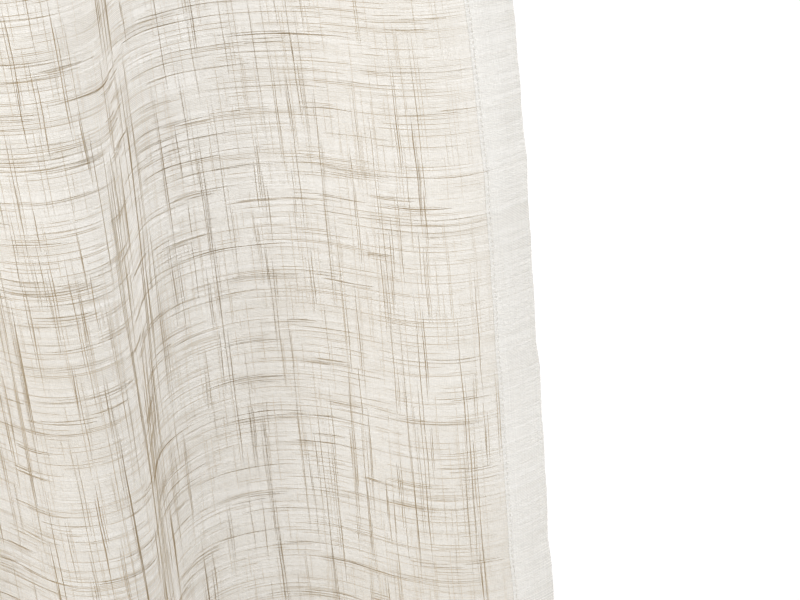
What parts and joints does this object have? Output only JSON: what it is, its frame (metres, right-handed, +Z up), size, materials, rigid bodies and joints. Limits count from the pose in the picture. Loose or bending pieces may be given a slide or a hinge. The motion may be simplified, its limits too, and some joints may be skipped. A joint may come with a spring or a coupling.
{
  "type": "eyelet curtain",
  "caption": "Sheer slub-weave curtain hanging in soft vertical folds from metal eyelets in a doubled heading, with hemmed sides and a deep bottom hem.",
  "frame": {"origin": "On the line that a rod takes through the eyelets, at the middle of the curtain's width, 50 mm under its top edge.", "axes": "+X runs along the rod, from the left edge to the right one as seen from the front. +Z is up. The front of the curtain faces -Y."},
  "size_m": [0.9863, 0.1537, 2.5],
  "materials": {
    "cloth": "sheer off-white slub voile, matt, with fine ground threads and darker thick slubs both ways",
    "eyelet": "satin pressed steel"
  },
  "bodies": {
    "root": {"panel": "cloth", "heading": "cloth", "eyelet_ring_01": "eyelet", "eyelet_ring_02": "eyelet", "eyelet_ring_03": "eyelet", "eyelet_ring_04": "eyelet", "eyelet_ring_05": "eyelet", "eyelet_ring_06": "eyelet", "eyelet_ring_07": "eyelet", "eyelet_ring_08": "eyelet", "eyelet_washer_01": "eyelet", "eyelet_washer_02": "eyelet", "eyelet_washer_03": "eyelet", "eyelet_washer_04": "eyelet", "eyelet_washer_05": "eyelet", "eyelet_washer_06": "eyelet", "eyelet_washer_07": "eyelet", "eyelet_washer_08": "eyelet"}
  },
  "joints": []
}
